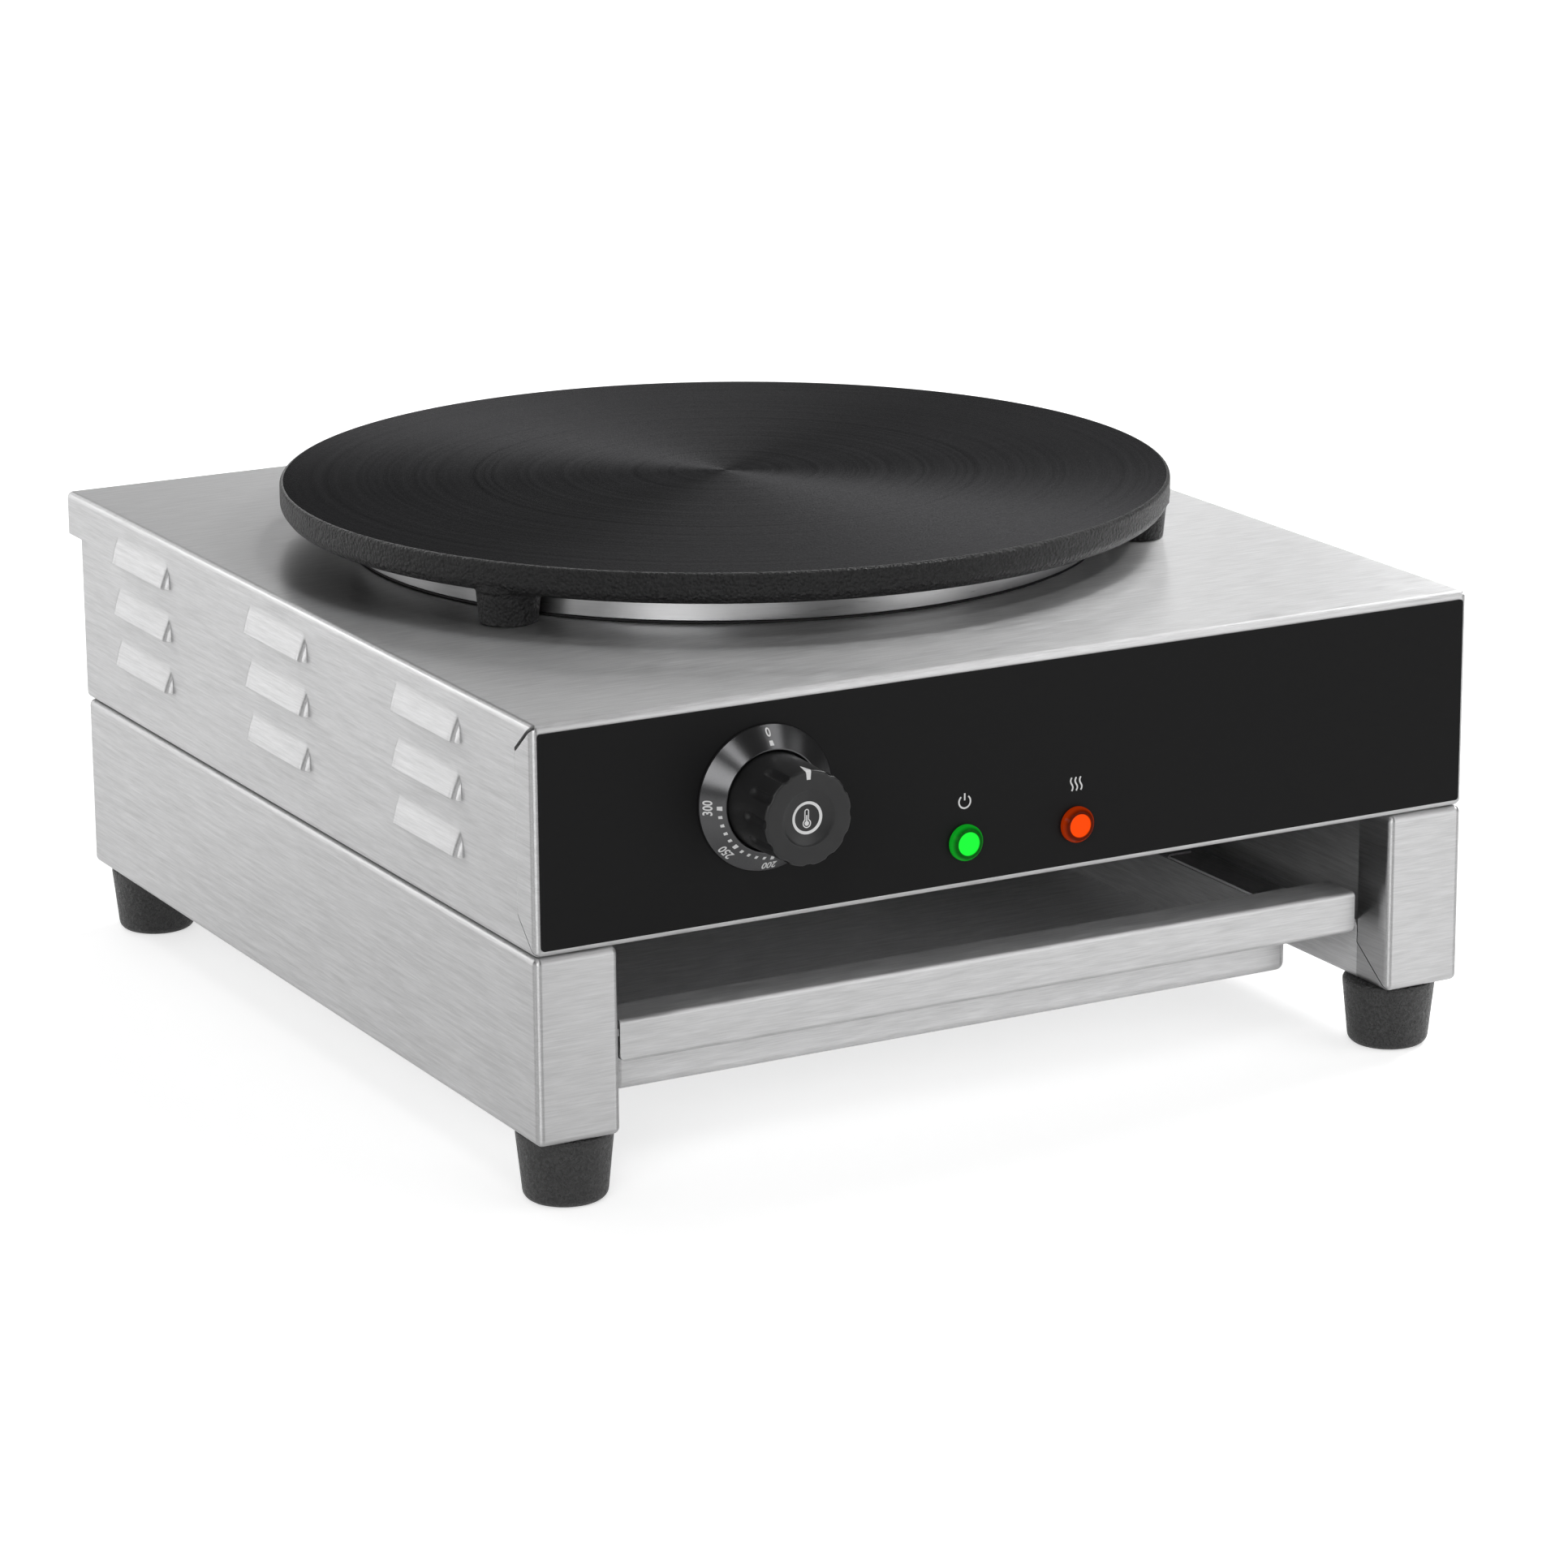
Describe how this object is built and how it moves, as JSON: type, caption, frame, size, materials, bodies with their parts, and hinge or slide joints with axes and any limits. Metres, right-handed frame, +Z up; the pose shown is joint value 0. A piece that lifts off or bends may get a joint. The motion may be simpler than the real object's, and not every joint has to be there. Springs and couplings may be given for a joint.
{
  "type": "electric griddle",
  "caption": "Round cast plate on a low stainless case with a side-louvred housing, a front thermostat knob and lamps, and a drip tray that slides out between two rails.",
  "frame": {"origin": "on the counter under the middle of the bounding box, at the underside of the rubber feet", "axes": "+Z up, -Y towards the control panel and knob, +X to the right as seen from the front"},
  "size_m": [0.457, 0.531, 0.2355],
  "materials": {
    "stainless_brushed": "brushed grain, satin",
    "sheet_inner": "plain mill sheet, dull",
    "element_sheath": "steel sheath tube, heat-darkened",
    "zinc_fixings": "zinc plated, satin",
    "cast_iron_seasoned": "seasoned black, turned face, cast sides",
    "rubber_black": "matt, coarse grain",
    "overlay_film": "printed film, satin",
    "knob_plastic": "moulded, satin",
    "dial_satin": "dark satin with white print",
    "black_plastic": "moulded",
    "ceramic_white": "unglazed ceramic",
    "mineral_wool": "pressed wool board",
    "copper": "bare copper tube",
    "brass_fixings": "machined",
    "lens_green": "clear tinted, glossy",
    "lens_red": "clear tinted, glossy",
    "wire_sleeve": "silicone sleeve"
  },
  "bodies": {
    "casing": {"housing_shell": "stainless_brushed", "back_panel": "stainless_brushed", "base_rail_left": "stainless_brushed", "base_rail_right": "stainless_brushed", "base_rear_panel": "stainless_brushed", "skirt_ring": "stainless_brushed", "housing_floor": "sheet_inner", "element_clamp_plate": "sheet_inner", "heat_shield": "sheet_inner", "heating_element_outer": "element_sheath", "heating_element_inner": "element_sheath", "back_screw_1": "zinc_fixings", "back_screw_2": "zinc_fixings", "back_screw_3": "zinc_fixings", "back_screw_4": "zinc_fixings", "foot_screw_front_left": "zinc_fixings", "foot_screw_rear_left": "zinc_fixings", "foot_screw_front_right": "zinc_fixings", "foot_screw_rear_right": "zinc_fixings", "leg_bolt_1": "zinc_fixings", "leg_bolt_2": "zinc_fixings", "leg_bolt_3": "zinc_fixings", "clamp_stud": "zinc_fixings", "clamp_nut": "zinc_fixings", "thermostat_bracket": "zinc_fixings", "griddle_plate": "cast_iron_seasoned", "foot_front_left": "rubber_black", "foot_rear_left": "rubber_black", "foot_front_right": "rubber_black", "foot_rear_right": "rubber_black", "skirt_seal": "rubber_black", "control_overlay": "overlay_film", "dial_ring": "dial_satin", "thermostat_body": "black_plastic", "lamp_body_green": "black_plastic", "lamp_body_red": "black_plastic", "lamp_nut_green": "black_plastic", "lamp_nut_red": "black_plastic", "cable_gland": "black_plastic", "gland_locknut": "black_plastic", "safety_cutout": "ceramic_white", "terminal_block": "ceramic_white", "insulation_disc": "mineral_wool", "thermostat_capillary": "copper", "earth_stud": "brass_fixings", "earth_nut": "brass_fixings", "lamp_lens_green": "lens_green", "lamp_lens_red": "lens_red", "wire_live": "wire_sleeve", "wire_element": "wire_sleeve", "wire_neutral": "wire_sleeve", "wire_lamps": "wire_sleeve"},
    "knob": {"knob": "knob_plastic", "thermostat_shaft": "zinc_fixings"},
    "tray": {"tray_front": "stainless_brushed", "tray_pan": "stainless_brushed", "tray_glide_left": "sheet_inner", "tray_glide_right": "sheet_inner"}
  },
  "joints": [
    {"name": "knob_turn", "type": "hinge", "parent": "casing", "child": "knob", "pos_m": [-0.121, -0.2275, 0.163], "axis": [0, 1, 0], "range_deg": [0, 270]},
    {"name": "tray_slide", "type": "slide", "parent": "casing", "child": "tray", "axis": [0, -1, 0], "range_m": [0, 0.3]}
  ]
}
